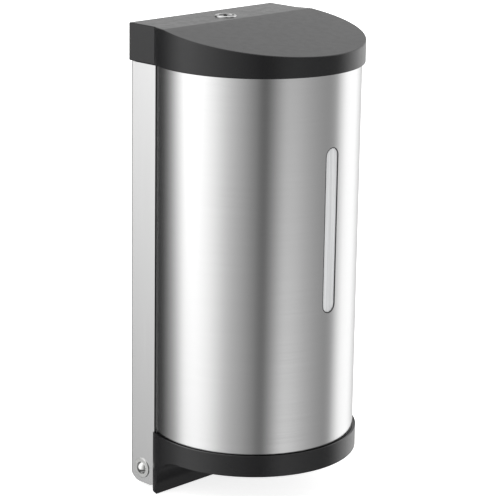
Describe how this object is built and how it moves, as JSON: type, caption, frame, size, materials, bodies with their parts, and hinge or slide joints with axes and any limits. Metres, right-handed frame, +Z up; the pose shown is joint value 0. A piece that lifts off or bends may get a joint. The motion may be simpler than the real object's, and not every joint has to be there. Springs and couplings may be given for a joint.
{
  "type": "wall mounted soap dispenser",
  "caption": "Half-round touch-free soap dispenser: brushed steel cover with a sight window, black cap with key lock and black base, tipping forward on a steel wall plate.",
  "frame": {"origin": "on the wall, at the middle of the wall plate's four screw holes", "axes": "+Z up, +Y into the wall, the front faces -Y"},
  "size_m": [0.126, 0.109, 0.2808],
  "materials": {
    "black_abs": "satin moulded",
    "brushed_stainless": "brushed",
    "lens": "translucent, smooth",
    "black_rubber": "matt",
    "black_rail": "matt",
    "chrome": "polished",
    "zinc_steel": "zinc plated",
    "stainless": "turned",
    "ir_plastic": "dark, infra-red clear",
    "clear_led": "clear",
    "nylon": "natural",
    "grey_abs": "fine grain",
    "tank_plastic": "translucent",
    "blue_plastic": "moulded",
    "silicone": "soft, milky",
    "black_abs_inner": "moulded",
    "clear_cover": "clear",
    "motor_steel": "drawn can",
    "brass": "machined",
    "battery_label": "plain printed sleeve",
    "board_green": "solder mask",
    "chip_black": "moulded epoxy"
  },
  "bodies": {
    "wall_unit": {"battery_box": "black_abs_inner", "battery_cells": "battery_label", "battery_contacts": "zinc_steel", "board_components": "chip_black", "board_screws": "zinc_steel", "chassis": "grey_abs", "chassis_screws": "zinc_steel", "control_board": "board_green", "filler_seal": "silicone", "gear_axle": "stainless", "gear_plate": "grey_abs", "hinge_pin_left": "stainless", "hinge_pin_right": "stainless", "hinge_washers": "stainless", "inlet_elbow": "nylon", "ir_emitter": "clear_led", "ir_receiver": "ir_plastic", "motor_can": "motor_steel", "motor_end_cap": "nylon", "nozzle": "black_abs_inner", "outlet_grommet": "silicone", "outlet_valve": "silicone", "pump_cover": "clear_cover", "pump_housing": "grey_abs", "pump_screws": "zinc_steel", "pump_tube": "silicone", "rotor_axle": "stainless", "strike_plate": "zinc_steel", "strike_rivets": "zinc_steel", "switch_body": "grey_abs", "tank": "tank_plastic", "wall_plate": "brushed_stainless"},
    "front_cover": {"cap": "black_abs", "steel_cover": "brushed_stainless", "base": "black_abs", "sight_window": "lens", "window_gasket": "black_rubber", "side_rail_left": "black_rail", "side_rail_right": "black_rail", "lock_housing": "chrome", "lock_nut": "zinc_steel", "sensor_window": "ir_plastic", "hinge_bushes": "nylon"},
    "lock_rotor": {"lock_plug": "chrome", "lock_cam": "zinc_steel", "cam_screw": "zinc_steel"},
    "filler_lid": {"filler_cap": "blue_plastic"},
    "pump_rotor": {"pump_rotor": "nylon", "rotor_cap": "nylon"},
    "roller_one": {"roller_1": "nylon"},
    "roller_two": {"roller_2": "nylon"},
    "roller_three": {"roller_3": "nylon"},
    "idler": {"compound_gear": "nylon"},
    "motor_rotor": {"motor_armature": "motor_steel", "motor_pinion": "brass"},
    "power_switch": {"switch_slider": "black_abs_inner"},
    "battery_lid": {"battery_door": "black_abs_inner"}
  },
  "joints": [
    {"name": "cover_hinge", "type": "hinge", "parent": "wall_unit", "child": "front_cover", "pos_m": [0, -0.01035, -0.1286], "axis": [1, 0, 0], "range_deg": [0, 75]},
    {"name": "lock_turn", "type": "hinge", "parent": "front_cover", "child": "lock_rotor", "pos_m": [0, -0.02, 0.13], "axis": [0, 0, 1], "range_deg": [-90, 0]},
    {"name": "filler_cap_turn", "type": "hinge", "parent": "wall_unit", "child": "filler_lid", "pos_m": [0, -0.052, 0.095], "axis": [0, 0, 1], "range_deg": [0, 60]},
    {"name": "pump_spin", "type": "hinge", "parent": "wall_unit", "child": "pump_rotor", "pos_m": [0.02, -0.066, -0.086], "axis": [0, 1, 0], "continuous": true},
    {"name": "idler_spin", "type": "hinge", "parent": "wall_unit", "child": "idler", "pos_m": [0.0056, -0.058, -0.086], "axis": [0, 1, 0], "continuous": true},
    {"name": "motor_spin", "type": "hinge", "parent": "wall_unit", "child": "motor_rotor", "pos_m": [-0.0016, -0.05, -0.07353], "axis": [0, 1, 0], "continuous": true},
    {"name": "roller_1_spin", "type": "hinge", "parent": "pump_rotor", "child": "roller_one", "pos_m": [0.02, -0.07, -0.0765], "axis": [0, 1, 0], "continuous": true},
    {"name": "roller_2_spin", "type": "hinge", "parent": "pump_rotor", "child": "roller_two", "pos_m": [0.01177, -0.07, -0.09075], "axis": [0, 1, 0], "continuous": true},
    {"name": "roller_3_spin", "type": "hinge", "parent": "pump_rotor", "child": "roller_three", "pos_m": [0.02823, -0.07, -0.09075], "axis": [0, 1, 0], "continuous": true},
    {"name": "power_switch_slide", "type": "slide", "parent": "wall_unit", "child": "power_switch", "axis": [1, 0, 0], "range_m": [0, 0.003]},
    {"name": "battery_door_pull", "type": "slide", "parent": "wall_unit", "child": "battery_lid", "axis": [0, -1, 0], "range_m": [0, 0.008]}
  ],
  "couplings": [
    {"joint": "idler_spin", "follows": "pump_spin", "ratio": -3},
    {"joint": "motor_spin", "follows": "pump_spin", "ratio": 9},
    {"joint": "roller_1_spin", "follows": "pump_spin", "ratio": -3.1111},
    {"joint": "roller_2_spin", "follows": "pump_spin", "ratio": -3.1111},
    {"joint": "roller_3_spin", "follows": "pump_spin", "ratio": -3.1111}
  ]
}
